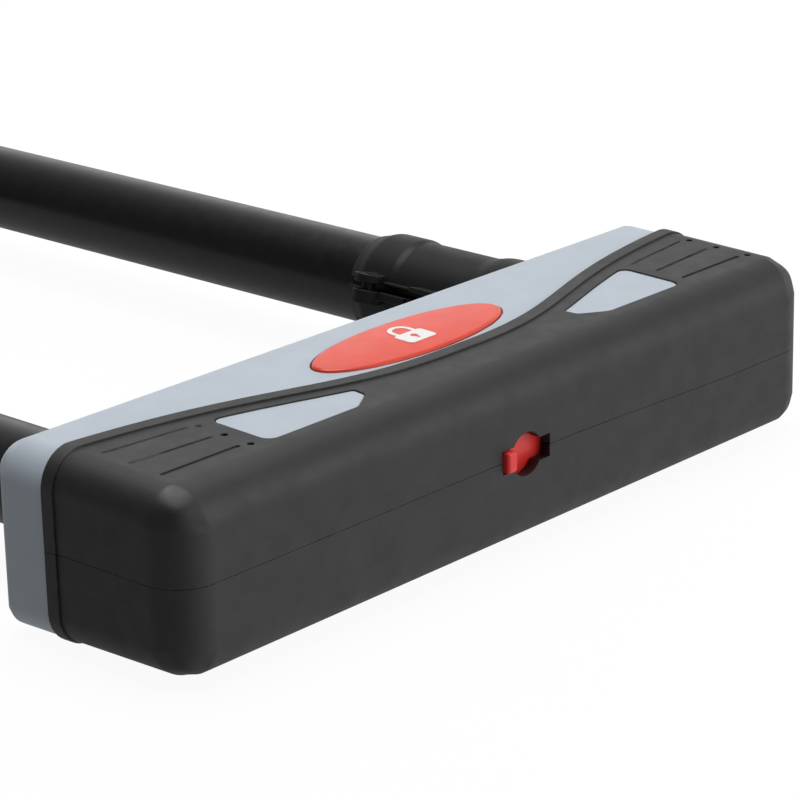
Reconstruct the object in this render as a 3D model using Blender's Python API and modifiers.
"""A bicycle U lock lying flat: covered crossbar, locking mechanism, shackle and clamp collar.

Every piece is built in the lock's own frame: X along the crossbar, +Y towards the bow, Z from
the mid-plane of the crossbar, origin at the crossbar's centre. An empty then sets that frame so
that the world origin is the centre of the bottom of the whole lock's box.
"""

import math

import bmesh
import bpy
from mathutils import Matrix, Vector

MM = 0.001
GAP = 0.3 * MM            # room between pieces that touch or nest

# Crossbar, outside
BAR_LENGTH = 174.6 * MM
BAR_DEPTH = 44.7 * MM
FRONT_HEIGHT = 33.5 * MM
BACK_HEIGHT = 35.8 * MM   # at the back plane, before the rear step
FRONT_CORNER_RADIUS = 8.0 * MM
END_EDGE_RADIUS = 6.5 * MM
UPPER_FRONT_RADIUS = 7.5 * MM
LOWER_FRONT_RADIUS = 5.5 * MM
BACK_EDGE_RADIUS = 3.0 * MM
BACK_CORNER_RADIUS = 2.0 * MM
EDGE_SEGMENTS = 5

# Front covers and the rear carrier that they clip over
REAR_STEP = 0.8 * MM      # the carrier's top skin lies this far below the upper cover's
COVER_WALL = 2.2 * MM
LIP_WIDTH = 2.8 * MM
LIP_HEIGHT = 0.4 * MM
WAVE_CREST = -4.8 * MM    # front of the carrier's visible skin at the middle
WAVE_RISE = 19.1 * MM
WAVE_REACH = 48.0 * MM
WAVE_POWER = 2.9
END_DIP = 1.0 * MM        # the covers' edge turns forward by this much at each end face
SEAM_POINTS = ((15 * MM, 0.4 * MM), (60 * MM, -1.0 * MM))   # (x, height) where the seam bends
WINDOW_STEP = 0.25 * MM    # the grey window pads lie this far below the covers
WINDOW_SHIFT = 0.4 * MM    # both windows sit a little to the right
WINDOW_BACKSET = 5.6 * MM
WINDOW_INNER = 29.1 * MM
WINDOW_OUTER = 56.8 * MM
WINDOW_FRONT = -13.1 * MM
WINDOW_HEEL = (34.8 * MM, -13.1 * MM)
WINDOW_TIP = (29.5 * MM, -9.8 * MM)
WINDOW_RADII = (0.9 * MM, 1.8 * MM, 2.2 * MM, 4.0 * MM, 1.2 * MM)   # as the outline goes round
WINDOW_STEPS = 5
WINDOW_LAST_STEP = 4.0 * MM
GROOVE_WIDTH = 0.9 * MM
GROOVE_DEPTH = 0.4 * MM
GROOVE_SHIFT = -0.8 * MM   # all grooves sit a little to the left
GROOVE_INNER = 60.9 * MM
GROOVE_OUTER = 79.1 * MM
GROOVE_ROWS = ((1.4 * MM, 3.4 * MM), (-4.85 * MM, -3.4 * MM), (-11.2 * MM, -11.1 * MM))
VENT_RADIUS = 0.65 * MM
VENT_OFFSET = (1.9 * MM, -0.8 * MM)   # from the right end of its groove
BADGE_Y = 6.2 * MM
BADGE_HALF_LENGTH = 24.6 * MM
BADGE_HALF_WIDTH = 8.25 * MM
BADGE_PROUD = 0.45 * MM
BADGE_POCKET = 1.2 * MM

# Hardened housing
HOUSING_LENGTH = 156.0 * MM
HOUSING_FRONT = -13.2 * MM
HOUSING_BACK = 16.5 * MM
HOUSING_HALF_HEIGHT = 12.5 * MM
CAVITY_MARGIN = 0.5 * MM

# Shackle
LEG_SPACING = 127.0 * MM
LEG_Z = -0.8 * MM
SLEEVE_DIAMETER = 18.85 * MM
SHACKLE_DIAMETER = 15.0 * MM
INNER_HEIGHT = 230.0 * MM
FOOT_Y = -6.5 * MM
SLEEVE_START = 17.2 * MM
BOW_SEGMENTS = 22

# Locking mechanism
KEY_Z = 0.3 * MM
KEYHOLE_DIAMETER = 8.3 * MM
SLOT_LEFT = -6.6 * MM
SLOT_RIGHT = 6.5 * MM
SLOT_HALF_HEIGHT = 2.2 * MM
CYLINDER_DIAMETER = 20.4 * MM
CYLINDER_FRONT = -16.9 * MM
CYLINDER_BACK = -1.2 * MM
CORE_DIAMETER = 14.0 * MM
CORE_FACE = -16.6 * MM
DISC_COUNT = 6
DISC_DIAMETER = 11.4 * MM
DISC_THICKNESS = 1.3 * MM
DISC_PITCH = 1.75 * MM
FIRST_DISC_Y = -14.4 * MM
CAM_FRONT = -0.8 * MM
CAM_THICKNESS = 3.2 * MM
CAM_RADIUS = 9.9 * MM
PIN_RADIUS = 1.25 * MM
PIN_REST_RADIUS = 3.3 * MM
BOLT_TRAVEL = 4.5 * MM
KEY_TURN = math.radians(90)
BOLT_RADIUS = 4.5 * MM
BOLT_Y = 8.1 * MM
BOLT_INNER_X = 1.4 * MM
SIDEBAR_WIDTH = 1.4 * MM
SIDEBAR_LOW = 5.0 * MM
RETAINING_PIN_X = 8.6 * MM
RETAINING_PIN_Y = -8.0 * MM
RETAINING_PIN_RADIUS = 1.5 * MM
REAR_SCREW_X = 30.0 * MM
REAR_SCREW_RADIUS = 1.5 * MM
REAR_HEAD_RADIUS = 2.9 * MM
REAR_HEAD_RECESS = (3.6 * MM, 2.6 * MM)   # radius, depth
REAR_SCREW_ROOM = 1.9 * MM
BUSH_WALL = 2.1 * MM

# Shutter behind the keyhole
SHUTTER_TRAVEL = 10.2 * MM
SHUTTER_THICKNESS = 1.1 * MM
TAB_LEFT = -6.4 * MM
TAB_RIGHT = -3.8 * MM
TAB_PROUD = 1.2 * MM
SHUTTER_RIGHT = KEYHOLE_DIAMETER / 2 + 3.6 * MM
SHUTTER_HALF_HEIGHT = KEYHOLE_DIAMETER / 2 + 0.6 * MM

# Clamp collar on the right leg. Its clamp, slit and ears are drawn level at the leg's inner side,
# with heights from the leg's centre line, and then turned upwards about the leg.
COLLAR_START = 32.5 * MM
COLLAR_END = 72.3 * MM
CLAMP_ANGLE = math.radians(16)
SLIT_LOW = -0.55 * MM
SLIT_HIGH = 1.1 * MM
EAR_X = 49.7 * MM
LOWER_EAR = (53.6 * MM, 64.0 * MM, 1.7 * MM)      # start, end, thickness
UPPER_EAR = (43.0 * MM, 52.6 * MM, 1.1 * MM)
UPPER_RIB = (43.0 * MM, 64.0 * MM, 0.6 * MM)
RIB_X = 51.0 * MM
BOSS_X = 50.2 * MM
BOSS_Y = 64.0 * MM
BOSS_RADIUS = 3.2 * MM
BOSS_TOP = 2.8 * MM
BOSS_BOTTOM = -3.4 * MM
CLAMP_SCREW_RADIUS = 1.45 * MM
COLLAR_FOOT_LOW = -13.7 * MM
COLLAR_FOOT_TOP = -7.5 * MM
COLLAR_FOOT_ENDS = (37.0 * MM, 75.0 * MM)
COLLAR_FOOT_SIDES = (9.0 * MM, 8.0 * MM)          # inwards and outwards of the leg's axis

LEG_X = LEG_SPACING / 2
BACK_Y = BAR_DEPTH / 2
FRONT_Y = -BAR_DEPTH / 2
SLEEVE_RADIUS = SLEEVE_DIAMETER / 2
SHACKLE_RADIUS = SHACKLE_DIAMETER / 2
BOW_CENTRE_Y = BACK_Y + INNER_HEIGHT + SLEEVE_RADIUS - LEG_X
BOW_TOP_Y = BACK_Y + INNER_HEIGHT + SLEEVE_DIAMETER
BOLT_OUTER_X = LEG_X - SHACKLE_RADIUS - 0.7 * MM
COVER_INNER_Y = FRONT_Y + COVER_WALL
SHUTTER_FRONT = COVER_INNER_Y + GAP
CAM_BACK = CAM_FRONT + CAM_THICKNESS
SIDEBAR_END = FIRST_DISC_Y + (DISC_COUNT - 1) * DISC_PITCH + DISC_THICKNESS
FAR = 400 * MM            # longer than the lock, for cutters

BLACK = (0.022, 0.022, 0.024, 1.0)
GREY = (0.36, 0.42, 0.47, 1.0)
RED = (0.72, 0.045, 0.022, 1.0)
STEEL = (0.52, 0.52, 0.53, 1.0)
BRASS = (0.70, 0.52, 0.24, 1.0)
COATING = (0.012, 0.012, 0.013, 1.0)

ALONG_Y = Matrix.Rotation(-math.pi / 2, 4, "X")


def clear_scene():
    for thing in list(bpy.data.objects):
        bpy.data.objects.remove(thing, do_unlink=True)


def new_collection(name):
    collection = bpy.data.collections.new(name)
    bpy.context.scene.collection.children.link(collection)
    return collection


clear_scene()
PARTS = new_collection("u_lock")
CUTTERS = new_collection("cutters")
bench = {"frame": None}   # the empty that pieces and cutters are being built in


# ---------------------------------------------------------------- building blocks

def add_object(name, data, collection=None):
    thing = bpy.data.objects.new(name, data)
    (collection or CUTTERS).objects.link(thing)
    thing.parent = bench["frame"]
    if collection is None:
        thing.hide_render = True
        thing.display_type = "WIRE"
    return thing


def mesh_object(name, bm, collection=None):
    bmesh.ops.recalc_face_normals(bm, faces=bm.faces)
    mesh = bpy.data.meshes.new(name)
    bm.to_mesh(mesh)
    bm.free()
    return add_object(name, mesh, collection)


def box(name, low, high, collection=None):
    """A box between two corners."""
    low, high = Vector(low), Vector(high)
    bm = bmesh.new()
    bmesh.ops.create_cube(bm, size=1.0)
    size = high - low
    bmesh.ops.transform(bm, matrix=Matrix.Diagonal((*size, 1.0)), verts=bm.verts)
    bmesh.ops.translate(bm, vec=(low + high) / 2, verts=bm.verts)
    return mesh_object(name, bm, collection)


def rod(name, start, end, radius, collection=None, sides=24):
    """A round rod between two points."""
    start, end = Vector(start), Vector(end)
    bm = bmesh.new()
    bmesh.ops.create_cone(
        bm, cap_ends=True, segments=sides, radius1=radius, radius2=radius,
        depth=(end - start).length,
    )
    turn = Vector((0, 0, 1)).rotation_difference(end - start).to_matrix().to_4x4()
    bmesh.ops.transform(bm, matrix=Matrix.Translation((start + end) / 2) @ turn, verts=bm.verts)
    return mesh_object(name, bm, collection)


def solid_of_curve(curve_object, name, collection=None):
    """The closed mesh of a curve object, which is removed."""
    bpy.context.view_layer.update()
    evaluated = curve_object.evaluated_get(bpy.context.evaluated_depsgraph_get())
    mesh = bpy.data.meshes.new_from_object(evaluated)
    bm = bmesh.new()
    bm.from_mesh(mesh)
    bmesh.ops.remove_doubles(bm, verts=bm.verts, dist=0.001 * MM)
    bmesh.ops.recalc_face_normals(bm, faces=bm.faces)
    bm.to_mesh(mesh)
    bm.free()
    place = curve_object.matrix_basis.copy()
    bpy.data.objects.remove(curve_object, do_unlink=True)
    solid = add_object(name, mesh, collection)
    solid.matrix_basis = place
    return solid


def plate(name, outline, low, high, collection=None):
    """A flat outline in X and Y, made solid between two heights."""
    curve = bpy.data.curves.new(name, "CURVE")
    curve.dimensions = "2D"
    curve.fill_mode = "BOTH"
    curve.extrude = (high - low) / 2
    spline = curve.splines.new("POLY")
    spline.points.add(len(outline) - 1)
    for point, (x, y) in zip(spline.points, outline):
        point.co = (x, y, 0, 1)
    spline.use_cyclic_u = True
    thing = add_object(name, curve)
    thing.location.z = (low + high) / 2
    return solid_of_curve(thing, name, collection)


def tube_along(name, route, radius, resolution, collection=None):
    """A round bar along a list of points."""
    curve = bpy.data.curves.new(name, "CURVE")
    curve.dimensions = "3D"
    curve.bevel_depth = radius
    curve.bevel_resolution = resolution
    curve.use_fill_caps = True
    spline = curve.splines.new("POLY")
    spline.points.add(len(route) - 1)
    for point, place in zip(spline.points, route):
        point.co = (*place, 1)
    return solid_of_curve(add_object(name, curve), name, collection)


def turned(name, profile, steps, collection=None):
    """A closed profile of (radius, height) points turned about Z, outer side first, top to bottom."""
    mesh = bpy.data.meshes.new(name)
    edges = [(i, (i + 1) % len(profile)) for i in range(len(profile))]
    mesh.from_pydata([(r, 0, h) for r, h in profile], edges, [])
    thing = add_object(name, mesh, collection)
    screw = thing.modifiers.new("turn", "SCREW")
    screw.steps = screw.render_steps = steps
    screw.use_merge_vertices = True
    screw.merge_threshold = 0.01 * MM
    return thing


def combine(target, other, operation):
    modifier = target.modifiers.new(other.name, "BOOLEAN")
    modifier.operation = operation
    modifier.solver = "EXACT"
    modifier.object = other


def cut(target, *cutters):
    for cutter in cutters:
        combine(target, cutter, "DIFFERENCE")


def join(target, *others):
    for other in others:
        combine(target, other, "UNION")


def keep_within(target, region):
    combine(target, region, "INTERSECT")


def arc_points(centre, radius, start, end, count):
    """Points along an arc, both ends included, angles in radians."""
    steps = [start + (end - start) * i / (count - 1) for i in range(count)]
    return [(centre[0] + radius * math.cos(a), centre[1] + radius * math.sin(a)) for a in steps]


def rounded(corners, count=5):
    """An outline from (x, y, radius) corners, with an arc of count points at each round one."""
    outline = []
    for i, (x, y, radius) in enumerate(corners):
        here = Vector((x, y))
        if radius == 0:
            outline.append((x, y))
            continue
        before = (Vector(corners[i - 1][:2]) - here).normalized()
        after = (Vector(corners[(i + 1) % len(corners)][:2]) - here).normalized()
        half = before.angle(after) / 2
        centre = here + (before + after).normalized() * radius / math.sin(half)
        first = here + before * radius / math.tan(half) - centre
        last = here + after * radius / math.tan(half) - centre
        sweep = first.angle_signed(last)
        for k in range(count):
            spoke = first.copy()
            spoke.rotate(Matrix.Rotation(-sweep * k / (count - 1), 2))
            outline.append(tuple(centre + spoke))
    return outline


def finish(thing, colour, roughness, metallic=0.0, sharp=math.radians(35)):
    """A piece's own material and smooth shading."""
    material = bpy.data.materials.new(thing.name)
    material.use_nodes = True
    shader = material.node_tree.nodes["Principled BSDF"]
    shader.inputs["Base Color"].default_value = colour
    shader.inputs["Roughness"].default_value = roughness
    shader.inputs["Metallic"].default_value = metallic
    material.diffuse_color = colour
    thing.data.materials.clear()
    thing.data.materials.append(material)
    if thing.data.polygons:
        thing.data.shade_smooth()
        thing.data.set_sharp_from_angle(angle=sharp)


# ---------------------------------------------------------------- crossbar shape

def half_height(y):
    """Half the covers' height at a depth: the moulding's draft makes it grow backwards."""
    share = (y - FRONT_Y) / BAR_DEPTH
    return (FRONT_HEIGHT + (BACK_HEIGHT - FRONT_HEIGHT) * share) / 2


def wave(x):
    """Where the covers end and the carrier's skin begins, the same left and right."""
    reach = (abs(x) / WAVE_REACH) ** WAVE_POWER
    from_end = BAR_LENGTH / 2 - abs(x)
    dip = END_DIP * min(max(1 - from_end / END_EDGE_RADIUS, 0), 1)
    return WAVE_CREST + WAVE_RISE * reach / (1 + reach) - dip


def bar_block(name, grow, collection=None, top_grow=None):
    """The crossbar's outer form, with every face moved outwards by grow, or its top by top_grow."""
    if top_grow is None:
        top_grow = grow
    bm = bmesh.new()
    bmesh.ops.create_cube(bm, size=2.0)
    for vert in bm.verts:
        across, deep, up = vert.co
        vert.co.x = across * (BAR_LENGTH / 2 + grow)
        vert.co.y = deep * (BAR_DEPTH / 2 + grow)
        vert.co.z = up * (half_height(deep * BAR_DEPTH / 2) + (top_grow if up > 0 else grow))
    weights = bm.edges.layers.float.new("bevel_weight_edge")
    radii = {}
    for edge in bm.edges:
        middle = (edge.verts[0].co + edge.verts[1].co) / 2
        at_end = abs(middle.x) > BAR_LENGTH / 4
        at_side = abs(middle.y) > BAR_DEPTH / 4
        if at_side and middle.y > 0:
            radii[edge] = BACK_CORNER_RADIUS if at_end else BACK_EDGE_RADIUS
        elif at_end and at_side:
            radii[edge] = FRONT_CORNER_RADIUS
        elif at_end:
            radii[edge] = END_EDGE_RADIUS
        else:
            radii[edge] = UPPER_FRONT_RADIUS if middle.z > 0 else LOWER_FRONT_RADIUS
    widest = max(radii.values()) + grow
    for edge, radius in radii.items():
        edge[weights] = (radius + grow) / widest
    thing = mesh_object(name, bm, collection)
    bevel = thing.modifiers.new("round", "BEVEL")
    bevel.limit_method = "WEIGHT"
    bevel.width = widest
    bevel.segments = EDGE_SEGMENTS
    return thing


def wave_points(shift, step=3 * MM):
    count = round(BAR_LENGTH / step / 2) + 3
    return [(i * step, wave(i * step) + shift) for i in range(-count, count + 1)]


def region_behind_wave(name, shift):
    front = wave_points(shift)
    outline = front + [(front[-1][0], FAR / 2), (front[0][0], FAR / 2)]
    return plate(name, outline, -FAR / 8, FAR / 8)


def region_above_seam(name, shift):
    """Everything above the seam between the two covers."""
    (left_x, left_z), (right_x, right_z) = SEAM_POINTS
    seam = [(-FAR, left_z), (left_x, left_z), (right_x, right_z), (FAR, right_z)]
    outline = [(x, z + shift) for x, z in seam] + [(FAR, FAR), (-FAR, FAR)]
    region = plate(name, outline, -FAR, FAR)
    region.data.transform(Matrix.Rotation(math.pi / 2, 4, "X"))
    return region


def lip_region(name):
    back = wave_points(0)
    front = wave_points(-LIP_WIDTH)
    return plate(name, front + back[::-1], -FAR / 8, FAR / 8)


def window_outline(side, grow):
    """A window's outline on one side of the crossbar (-1 left, 1 right), grown all round."""
    inner, outer = WINDOW_INNER - grow, WINDOW_OUTER + grow
    front = WINDOW_FRONT - grow
    heel = (WINDOW_HEEL[0] - 0.7 * grow, front)
    tip = (WINDOW_TIP[0] - grow, WINDOW_TIP[1] - 0.5 * grow)
    last = outer - WINDOW_LAST_STEP
    edge = [inner + (last - inner) * i / WINDOW_STEPS for i in range(WINDOW_STEPS + 1)] + [outer]
    inner_back, outer_back, outer_front, heel_radius, tip_radius = WINDOW_RADII
    radii = [inner_back] + [0] * WINDOW_STEPS + [outer_back]
    corners = [(x, wave(x) - WINDOW_BACKSET + grow, r) for x, r in zip(edge, radii)]
    corners += [(outer, front, outer_front), (*heel, heel_radius), (*tip, tip_radius)]
    return rounded([(side * x + WINDOW_SHIFT, y, r) for x, y, r in corners][:: -side])


def window_prism(name, side, level, grow):
    """A window's prism above (level 1) or below (level -1) the mid-plane."""
    heights = sorted((level * 5 * MM, level * FAR / 8))
    return plate(name, window_outline(side, grow), *heights)


# ---------------------------------------------------------------- rear carrier and covers

def rear_carrier():
    carrier = bar_block("rear_carrier", -(COVER_WALL + GAP), PARTS)
    skin = bar_block("carrier_skin", 0, top_grow=-REAR_STEP)
    keep_within(skin, region_behind_wave("skin_region", GAP))
    join(carrier, skin)
    for side in (-1, 1):
        for level in (-1, 1):
            pad = bar_block(f"window_pad_{side}_{level}", -WINDOW_STEP)
            keep_within(pad, window_prism(f"window_core_{side}_{level}", side, level, 0))
            join(carrier, pad)
    room = CAVITY_MARGIN
    recess_radius, recess_depth = REAR_HEAD_RECESS
    inside = box(
        "carrier_cavity",
        (-HOUSING_LENGTH / 2 - room, -FAR, -HOUSING_HALF_HEIGHT - room),
        (HOUSING_LENGTH / 2 + room, HOUSING_BACK + room, HOUSING_HALF_HEIGHT + room),
    )
    cut(carrier, inside, badge_prism("badge_pocket", GAP))
    for side in (-1, 1):
        hole = rod(
            f"carrier_leg_hole_{side}", (side * LEG_X, 0, LEG_Z), (side * LEG_X, FAR, LEG_Z),
            SLEEVE_RADIUS + BUSH_WALL, sides=32,
        )
        screw_hole = rod(
            f"carrier_screw_hole_{side}", (side * REAR_SCREW_X, 0, 0), (side * REAR_SCREW_X, FAR, 0),
            REAR_SCREW_ROOM,
        )
        head_recess = rod(
            f"carrier_head_recess_{side}", (side * REAR_SCREW_X, BACK_Y - recess_depth, 0),
            (side * REAR_SCREW_X, FAR, 0), recess_radius,
        )
        cut(carrier, hole, screw_hole, head_recess)
    return carrier


def badge_outline(grow, count=48):
    turns = [2 * math.pi * i / count for i in range(count)]
    return [
        ((BADGE_HALF_LENGTH + grow) * math.cos(a), BADGE_Y + (BADGE_HALF_WIDTH + grow) * math.sin(a))
        for a in turns
    ]


def badge_floor():
    return half_height(BADGE_Y) - REAR_STEP - BADGE_POCKET


def badge_prism(name, grow):
    return plate(name, badge_outline(grow), badge_floor(), FAR / 8)


def badge():
    """A plain oval plate in its pocket, a little proud of the carrier and crowned at its rim."""
    piece = plate("badge", badge_outline(0), badge_floor() + GAP, FAR / 8, PARTS)
    roof = bar_block("badge_roof", BADGE_PROUD - REAR_STEP)
    keep_within(piece, roof)
    return piece


def groove_cutters(level):
    """Three shallow grip grooves on each side of one cover, with a small vent at each one's right."""
    for side in (-1, 1):
        for row, (inner_y, outer_y) in enumerate(GROOVE_ROWS):
            name = f"groove_{level}_{side}_{row}"
            ends = [
                Vector((side * x + GROOVE_SHIFT, y, 0))
                for x, y in ((GROOVE_INNER, inner_y), (GROOVE_OUTER, outer_y))
            ]
            ends.sort(key=lambda end: end.x)
            along = (ends[1] - ends[0]).normalized()
            across = Vector((-along.y, along.x, 0)) * GROOVE_WIDTH / 2
            floor = half_height((inner_y + outer_y) / 2) - GROOVE_DEPTH
            heights = sorted((level * floor, level * FAR / 8))
            corners = [ends[0] - across, ends[1] - across, ends[1] + across, ends[0] + across]
            yield plate(name, [corner[:2] for corner in corners], *heights)
            vent = ends[1] + Vector((*VENT_OFFSET, 0))
            yield rod(
                f"vent_{level}_{side}_{row}", (vent.x, vent.y, heights[0]), (vent.x, vent.y, heights[1]),
                VENT_RADIUS, sides=10,
            )


def keyhole_cutters(name):
    hole = rod(
        f"{name}_keyhole", (0, -FAR, KEY_Z), (0, SHUTTER_FRONT + 2 * MM, KEY_Z), KEYHOLE_DIAMETER / 2,
        sides=32,
    )
    slot = box(
        f"{name}_slot", (SLOT_LEFT, -FAR, KEY_Z - SLOT_HALF_HEIGHT),
        (SLOT_RIGHT, SHUTTER_FRONT + 2 * MM, KEY_Z + SLOT_HALF_HEIGHT),
    )
    return hole, slot


def cover(name, level):
    """The upper (level 1) or lower (level -1) front cover, split from the other at the seam."""
    shell = bar_block(name, 0, PARTS)
    cut(shell, region_behind_wave(f"{name}_rear", 0))
    lip = bar_block(f"{name}_lip", LIP_HEIGHT)
    keep_within(lip, lip_region(f"{name}_lip_region"))
    join(shell, lip)
    cut(shell, bar_block(f"{name}_inside", -COVER_WALL))
    upper = region_above_seam(f"{name}_seam", level * GAP / 2)
    if level > 0:
        keep_within(shell, upper)
    else:
        cut(shell, upper)
    for side in (-1, 1):
        cut(shell, window_prism(f"{name}_window_{side}", side, level, GAP))
    cut(shell, *groove_cutters(level), *keyhole_cutters(name))
    return shell


# ---------------------------------------------------------------- housing and its mechanism

def housing():
    block = box(
        "crossbar_housing", (-HOUSING_LENGTH / 2, HOUSING_FRONT, -HOUSING_HALF_HEIGHT),
        (HOUSING_LENGTH / 2, HOUSING_BACK, HOUSING_HALF_HEIGHT), PARTS,
    )
    bevel = block.modifiers.new("edges", "BEVEL")
    bevel.width = 1.2 * MM
    bevel.segments = 1
    pocket = rod(
        "cylinder_pocket", (0, -FAR, KEY_Z), (0, CAM_BACK + GAP, KEY_Z),
        CYLINDER_DIAMETER / 2 + GAP, sides=32,
    )
    pin_room = rod(
        "drive_pin_room", (0, 0, KEY_Z), (0, BOLT_Y, KEY_Z),
        PIN_REST_RADIUS + BOLT_TRAVEL + PIN_RADIUS + 2 * GAP,
    )
    channel = rod(
        "bolt_channel", (-FAR, BOLT_Y, LEG_Z), (FAR, BOLT_Y, LEG_Z), BOLT_RADIUS + GAP, sides=24,
    )
    pin_hole = rod(
        "retaining_pin_hole", (RETAINING_PIN_X, RETAINING_PIN_Y, -FAR),
        (RETAINING_PIN_X, RETAINING_PIN_Y, FAR), RETAINING_PIN_RADIUS + GAP, sides=16,
    )
    cut(block, pocket, pin_room, channel, pin_hole)
    for side in (-1, 1):
        socket = rod(
            f"leg_socket_{side}", (side * LEG_X, FOOT_Y - 1.0 * MM, LEG_Z), (side * LEG_X, FAR, LEG_Z),
            SHACKLE_RADIUS + GAP, sides=32,
        )
        thread = rod(
            f"rear_screw_thread_{side}", (side * REAR_SCREW_X, HOUSING_BACK - 3.2 * MM, 0),
            (side * REAR_SCREW_X, FAR, 0), REAR_SCREW_RADIUS + GAP, sides=16,
        )
        cut(block, socket, thread)
    return block


def end_plug(name, side):
    """Closes one end of the bolt channel."""
    inner = side * (LEG_X + SHACKLE_RADIUS + 1.6 * MM)
    outer = side * (HOUSING_LENGTH / 2 - 0.2 * MM)
    return rod(name, (inner, BOLT_Y, LEG_Z), (outer, BOLT_Y, LEG_Z), BOLT_RADIUS, PARTS)


def cylinder_body():
    body = rod(
        "cylinder_body", (0, CYLINDER_FRONT, KEY_Z), (0, CYLINDER_BACK, KEY_Z), CYLINDER_DIAMETER / 2,
        PARTS, sides=32,
    )
    bore = rod("core_bore", (0, -FAR, KEY_Z), (0, FAR, KEY_Z), CORE_DIAMETER / 2 + GAP, sides=32)
    groove = box(
        "sidebar_groove", (-1.0 * MM, FIRST_DISC_Y, KEY_Z + CORE_DIAMETER / 2 - 1.0 * MM),
        (1.0 * MM, CYLINDER_BACK - 2 * MM, KEY_Z + CORE_DIAMETER / 2 + 1.0 * MM),
    )
    pin_notch = rod(
        "retaining_notch", (RETAINING_PIN_X, RETAINING_PIN_Y, -FAR),
        (RETAINING_PIN_X, RETAINING_PIN_Y, FAR), RETAINING_PIN_RADIUS + GAP, sides=16,
    )
    cut(body, bore, groove, pin_notch)
    return body


def retaining_pin():
    reach = HOUSING_HALF_HEIGHT - 0.3 * MM
    return rod(
        "cylinder_retaining_pin", (RETAINING_PIN_X, RETAINING_PIN_Y, -reach),
        (RETAINING_PIN_X, RETAINING_PIN_Y, reach), RETAINING_PIN_RADIUS, PARTS, sides=16,
    )


def centred_rod(name, start_y, end_y, radius, collection=None, sides=24):
    return rod(name, (0, start_y, 0), (0, end_y, 0), radius, collection, sides=sides)


def key_parts():
    """The turning core with its code discs and sidebar, and the scroll cam behind it."""
    core = centred_rod("cylinder_core", CORE_FACE, CYLINDER_BACK, CORE_DIAMETER / 2, PARTS, sides=32)
    disc_room = centred_rod(
        "core_disc_room", FIRST_DISC_Y - 1.2 * MM, FAR, DISC_DIAMETER / 2 + GAP, sides=28,
    )
    key_entry = centred_rod("core_key_entry", -FAR, FAR, 3.4 * MM, sides=20)
    sidebar_slot = box(
        "core_sidebar_slot", (-SIDEBAR_WIDTH / 2 - GAP, FIRST_DISC_Y - GAP, 3.0 * MM),
        (SIDEBAR_WIDTH / 2 + GAP, SIDEBAR_END + GAP, CORE_DIAMETER),
    )
    cut(core, disc_room, key_entry, sidebar_slot)
    pieces = [core]
    for index in range(DISC_COUNT):
        front = FIRST_DISC_Y + index * DISC_PITCH
        disc = centred_rod(
            f"code_disc_{index + 1}", front, front + DISC_THICKNESS, DISC_DIAMETER / 2, PARTS, sides=28,
        )
        slot = box(
            f"disc_key_slot_{index + 1}", (-3.0 * MM, -FAR, -1.5 * MM), (3.0 * MM, FAR, 1.5 * MM),
        )
        gate = box(
            f"disc_gate_{index + 1}", (-SIDEBAR_WIDTH / 2 - GAP, -FAR, SIDEBAR_LOW - GAP),
            (SIDEBAR_WIDTH / 2 + GAP, FAR, FAR),
        )
        cut(disc, slot, gate)
        pieces.append(disc)
    sidebar = box(
        "sidebar", (-SIDEBAR_WIDTH / 2, FIRST_DISC_Y, SIDEBAR_LOW),
        (SIDEBAR_WIDTH / 2, SIDEBAR_END, CORE_DIAMETER / 2 - 0.3 * MM), PARTS,
    )
    pieces += [sidebar, drive_cam()]
    return pieces


def scroll_slot(name, start_angle):
    """A slot whose radius grows evenly with the turn, so that a pin in it slides evenly."""
    half = PIN_RADIUS + GAP
    first = -half / PIN_REST_RADIUS
    last = KEY_TURN + half / (PIN_REST_RADIUS + BOLT_TRAVEL)
    steps = 14
    inside, outside = [], []
    for i in range(steps + 1):
        turn = first + (last - first) * i / steps
        radius = PIN_REST_RADIUS + BOLT_TRAVEL * min(max(turn / KEY_TURN, 0), 1)
        rate = BOLT_TRAVEL / KEY_TURN if turn > first / 2 else 0
        reach = half * math.hypot(radius, rate) / radius
        for points, r in ((inside, radius - reach), (outside, radius + reach)):
            points.append((r * math.cos(start_angle + turn), r * math.sin(start_angle + turn)))
    slot = plate(name, outside + inside[::-1], -FAR / 8, FAR / 8)
    slot.data.transform(Matrix.Rotation(math.pi / 2, 4, "X"))
    return slot


def drive_cam():
    cam = centred_rod("drive_cam", CAM_FRONT, CAM_BACK, CAM_RADIUS, PARTS, sides=32)
    stub = centred_rod(
        "cam_stub", SIDEBAR_END + 0.4 * MM, CAM_FRONT + 1 * MM, DISC_DIAMETER / 2, sides=28,
    )
    join(cam, stub)
    cut(cam, scroll_slot("scroll_right", 0), scroll_slot("scroll_left", math.pi))
    return cam


def bolt_and_pin(side, word):
    """A locking bolt and its drive pin, which reaches forward into the cam's scroll slot."""
    bolt = rod(
        f"{word}_bolt", (side * BOLT_INNER_X, BOLT_Y, LEG_Z), (side * BOLT_OUTER_X, BOLT_Y, LEG_Z),
        BOLT_RADIUS, PARTS, sides=24,
    )
    pin_x = side * PIN_REST_RADIUS
    hole = rod(
        f"{word}_pin_hole", (pin_x, 0, KEY_Z), (pin_x, BOLT_Y + 2 * MM, KEY_Z), PIN_RADIUS + GAP,
        sides=16,
    )
    cut(bolt, hole)
    pin = rod(
        f"{word}_drive_pin", (pin_x, CAM_FRONT + 0.6 * MM, KEY_Z), (pin_x, BOLT_Y + 1.7 * MM, KEY_Z),
        PIN_RADIUS, PARTS, sides=16,
    )
    return bolt, pin


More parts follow.
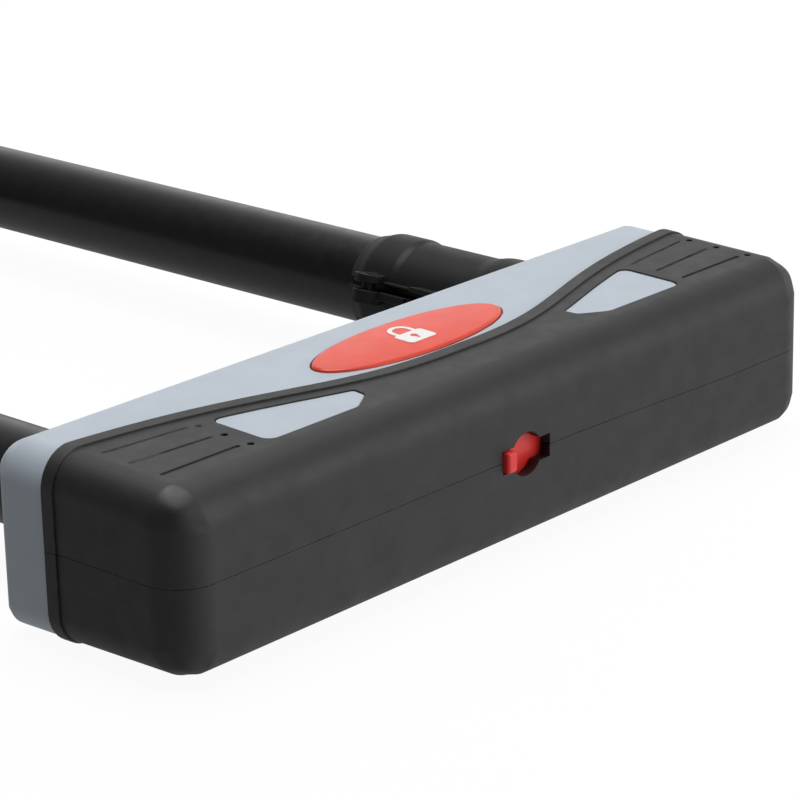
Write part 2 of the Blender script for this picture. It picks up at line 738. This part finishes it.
def leg_bush(name, side):
    """The plastic ring where a leg enters the carrier's back wall."""
    inner, outer = SLEEVE_RADIUS + GAP, SLEEVE_RADIUS + BUSH_WALL - GAP
    back, front = BACK_Y, HOUSING_BACK + CAVITY_MARGIN
    flange = outer + 1.3 * MM
    profile = [
        (outer - 0.4 * MM, back + 1.5 * MM), (flange, back + 1.1 * MM), (flange, back + GAP),
        (outer, back + GAP), (outer, front + 0.2 * MM), (inner, front + 0.2 * MM),
        (inner, back + 1.2 * MM), (inner + 0.3 * MM, back + 1.5 * MM),
    ]
    bush = turned(name, profile, 32, PARTS)
    bush.data.transform(ALONG_Y)
    bush.modifiers["turn"].axis = "Y"
    bush.location = (side * LEG_X, 0, LEG_Z)
    return bush


def rear_screw(name, side):
    """Holds the housing in the carrier, its head sunk in the carrier's back."""
    x = side * REAR_SCREW_X
    seat = BACK_Y - REAR_HEAD_RECESS[1]
    head = rod(name, (x, seat + GAP, 0), (x, seat + 2.2 * MM, 0), REAR_HEAD_RADIUS, PARTS, sides=20)
    shank = rod(f"{name}_shank", (x, HOUSING_BACK - 2.8 * MM, 0), (x, seat + 1 * MM, 0),
                REAR_SCREW_RADIUS, sides=16)
    join(head, shank)
    drive = rod(f"{name}_drive", (x, seat + 1.2 * MM, 0), (x, FAR, 0), 1.3 * MM, sides=6)
    cut(head, drive)
    return head


# ---------------------------------------------------------------- shutter

def shutter():
    """The red slide that closes the keyhole, with the thumb tab that stands out of the slot."""
    back = SHUTTER_FRONT + SHUTTER_THICKNESS
    half = SHUTTER_HALF_HEIGHT
    piece = box(
        "shutter", (TAB_LEFT + 0.02 * MM, SHUTTER_FRONT, KEY_Z - half),
        (SHUTTER_RIGHT, back, KEY_Z + half), PARTS,
    )
    tab_half = SLOT_HALF_HEIGHT - 0.15 * MM
    tab = box(
        "shutter_tab", (TAB_LEFT, FRONT_Y - TAB_PROUD, KEY_Z - tab_half),
        (TAB_RIGHT, back - 0.2 * MM, KEY_Z + tab_half),
    )
    soften = tab.modifiers.new("soften", "BEVEL")
    soften.width = 0.6 * MM
    soften.segments = 3
    join(piece, tab)
    return piece


def shutter_guide():
    """The frame on the housing's face that keeps the shutter against the covers."""
    half = SHUTTER_HALF_HEIGHT + GAP
    rim = 2.2 * MM
    track_left, track_right = TAB_LEFT - 0.5 * MM, SHUTTER_RIGHT + SHUTTER_TRAVEL + 0.4 * MM
    frame = box(
        "shutter_guide", (-14.0 * MM, SHUTTER_FRONT, KEY_Z - half - rim),
        (track_right + rim, HOUSING_FRONT - GAP, KEY_Z + half + rim), PARTS,
    )
    track = box(
        "shutter_track", (track_left, -FAR, KEY_Z - half),
        (track_right, SHUTTER_FRONT + SHUTTER_THICKNESS + GAP, KEY_Z + half),
    )
    key_opening = rod("guide_key_opening", (0, -FAR, KEY_Z), (0, FAR, KEY_Z), KEYHOLE_DIAMETER / 2)
    cylinder_room = rod(
        "guide_cylinder_room", (0, CYLINDER_FRONT - GAP, KEY_Z), (0, FAR, KEY_Z),
        CYLINDER_DIAMETER / 2 + GAP, sides=32,
    )
    cut(frame, track, key_opening, cylinder_room)
    return frame


# ---------------------------------------------------------------- shackle

def shackle_route(start_y):
    bow = arc_points((0, BOW_CENTRE_Y), LEG_X, math.pi, 0, BOW_SEGMENTS + 1)
    points = [(-LEG_X, start_y)] + bow + [(LEG_X, start_y)]
    return [(x, y, 0) for x, y in points]


def shackle_bar():
    bar = tube_along("shackle_bar", shackle_route(FOOT_Y), SHACKLE_RADIUS, 8, PARTS)
    chamfer = bar.modifiers.new("foot_chamfer", "BEVEL")
    chamfer.width = 1.2 * MM
    chamfer.segments = 1
    chamfer.limit_method = "ANGLE"
    chamfer.angle_limit = math.radians(60)
    deep = BOLT_OUTER_X + BOLT_TRAVEL + 0.8 * MM
    half = BOLT_RADIUS + 0.6 * MM
    for side in (-1, 1):
        xs = sorted((side * (LEG_X - 2 * SHACKLE_RADIUS), side * deep))
        cut(bar, box(f"bolt_notch_{side}", (xs[0], BOLT_Y - half, -FAR), (xs[1], BOLT_Y + half, FAR)))
    return bar


def shackle_sleeve():
    sleeve = tube_along("shackle_sleeve", shackle_route(SLEEVE_START), SLEEVE_RADIUS, 8, PARTS)
    bore = tube_along("sleeve_bore", shackle_route(-FAR), SHACKLE_RADIUS + GAP, 8)
    cut(sleeve, bore)
    return sleeve


def clamp_collar():
    """The split plastic ring of a frame bracket, clamped by a screw through two ears."""
    inner = SLEEVE_RADIUS + GAP
    outer = [
        (10.0, 72.3), (10.5, 70.3), (10.95, 69.0), (11.2, 67.8), (11.2, 61.2), (11.0, 60.4),
        (10.7, 59.2), (10.65, 42.0), (10.85, 40.6), (11.4, 38.0), (11.5, 36.5), (11.5, 33.2),
        (11.2, 32.5),
    ]
    blank = SHACKLE_RADIUS    # smaller than the bore, which is cut last
    profile = [(r * MM, h * MM) for r, h in outer] + [(blank, COLLAR_START), (blank, COLLAR_END)]
    ring = turned("clamp_collar", profile, 40, PARTS)
    ring.data.transform(ALONG_Y)
    ring.modifiers["turn"].axis = "Y"
    ring.location.x = LEG_X
    wall = LEG_X - inner - 0.2 * MM
    (low_start, low_end, low_thick), (up_start, up_end, up_thick) = LOWER_EAR, UPPER_EAR
    rib_start, rib_end, rib_thick = UPPER_RIB
    lower_ear = box(
        "lower_ear", (EAR_X, low_start, SLIT_LOW - low_thick), (wall, low_end, SLIT_LOW + 0.5 * MM),
    )
    upper_ear = box(
        "upper_ear", (EAR_X, up_start, SLIT_HIGH - 0.5 * MM), (wall, up_end, SLIT_HIGH + up_thick),
    )
    upper_rib = box(
        "upper_rib", (RIB_X, rib_start, SLIT_HIGH - 0.4 * MM), (wall, rib_end, SLIT_HIGH + rib_thick),
    )
    boss = boss_rod("collar_boss", BOSS_BOTTOM, BOSS_TOP, BOSS_RADIUS, 24)
    inwards, outwards = COLLAR_FOOT_SIDES
    foot = box(
        "collar_foot", (LEG_X - inwards, COLLAR_FOOT_ENDS[0], COLLAR_FOOT_LOW),
        (LEG_X + outwards, COLLAR_FOOT_ENDS[1], COLLAR_FOOT_TOP),
    )
    soften = foot.modifiers.new("soften", "BEVEL")
    soften.width = 1.5 * MM
    soften.segments = 2
    leg_room = rod("collar_bore", (LEG_X, -FAR, 0), (LEG_X, FAR, 0), inner, sides=40)
    slit = box("collar_slit", (0, -FAR, SLIT_LOW), (LEG_X, FAR, SLIT_HIGH))
    screw_hole = boss_rod("clamp_screw_hole", -FAR, FAR, CLAMP_SCREW_RADIUS + GAP, 16)
    head_room = boss_rod("clamp_head_room", BOSS_TOP - 1.2 * MM, FAR, 2.35 * MM, 20)
    nut_room = boss_rod("clamp_nut_room", -FAR, BOSS_BOTTOM + 1.5 * MM, 2.45 * MM, 6)
    for thing in (lower_ear, upper_ear, upper_rib, slit):
        turn_upwards(thing)
    join(ring, lower_ear, upper_ear, upper_rib, boss, foot)
    cut(ring, leg_room, slit, screw_hole, head_room, nut_room)
    return ring


def turn_upwards(thing):
    """Turns a piece of the clamp, drawn level, to its place about the leg."""
    centre = Matrix.Translation((LEG_X, 0, 0))
    thing.data.transform(centre @ Matrix.Rotation(CLAMP_ANGLE, 4, "Y") @ centre.inverted())


def boss_rod(name, low, high, radius, sides, collection=None):
    """A rod on the clamp screw's axis."""
    thing = rod(name, (BOSS_X, BOSS_Y, low), (BOSS_X, BOSS_Y, high), radius, collection, sides=sides)
    turn_upwards(thing)
    return thing


def clamp_screw():
    screw = boss_rod("clamp_screw", BOSS_TOP - 1.1 * MM, BOSS_TOP - 0.1 * MM, 2.05 * MM, 20, PARTS)
    shank = boss_rod(
        "clamp_shank", BOSS_BOTTOM + 0.2 * MM, BOSS_TOP - 0.8 * MM, CLAMP_SCREW_RADIUS, 16,
    )
    join(screw, shank)
    cut(screw, boss_rod("clamp_drive", BOSS_TOP - 0.7 * MM, FAR, 1.0 * MM, 6))
    return screw


def clamp_nut():
    nut = boss_rod("clamp_nut", BOSS_BOTTOM + 0.1 * MM, BOSS_BOTTOM + 1.2 * MM, 2.15 * MM, 6, PARTS)
    cut(nut, boss_rod("clamp_nut_thread", -FAR, FAR, CLAMP_SCREW_RADIUS + GAP / 2, 16))
    return nut


# ---------------------------------------------------------------- assembly

def empty(name, location, parent=None):
    thing = bpy.data.objects.new(name, None)
    PARTS.objects.link(thing)
    thing.location = location
    thing.parent = parent
    return thing


def crossbar_pieces():
    finish(housing(), STEEL, 0.4, 1.0)
    finish(end_plug("left_end_plug", -1), STEEL, 0.4, 1.0)
    finish(end_plug("right_end_plug", 1), STEEL, 0.4, 1.0)
    finish(rear_carrier(), GREY, 0.45)
    finish(cover("upper_cover", 1), BLACK, 0.6)
    finish(cover("lower_cover", -1), BLACK, 0.6)
    finish(badge(), RED, 0.3)
    finish(cylinder_body(), BRASS, 0.35, 1.0)
    finish(retaining_pin(), STEEL, 0.35, 1.0)
    finish(shutter_guide(), BLACK, 0.55)
    finish(shutter(), RED, 0.3)
    for side, word in ((-1, "left"), (1, "right")):
        for piece in bolt_and_pin(side, word):
            finish(piece, STEEL, 0.3, 1.0)
        finish(rear_screw(f"{word}_rear_screw", side), STEEL, 0.35, 1.0)
        finish(leg_bush(f"{word}_leg_bush", side), BLACK, 0.5)


def shackle_pieces():
    finish(shackle_bar(), STEEL, 0.35, 1.0)
    finish(shackle_sleeve(), COATING, 0.35)
    finish(clamp_collar(), COATING, 0.5)
    finish(clamp_screw(), STEEL, 0.35, 1.0)
    finish(clamp_nut(), STEEL, 0.35, 1.0)


def assemble():
    rest_height = half_height(wave(BAR_LENGTH / 2 - END_EDGE_RADIUS)) + LIP_HEIGHT
    middle_y = (BOW_TOP_Y + FRONT_Y - TAB_PROUD) / 2
    lock_frame = empty("lock_frame", (0, -middle_y, rest_height))
    bench["frame"] = lock_frame
    crossbar_pieces()
    bench["frame"] = empty("key_frame", (0, 0, KEY_Z), lock_frame)
    for piece in key_parts():
        finish(piece, BRASS, 0.35, 1.0)
    bench["frame"] = empty("shackle_frame", (0, 0, LEG_Z), lock_frame)
    shackle_pieces()


assemble()
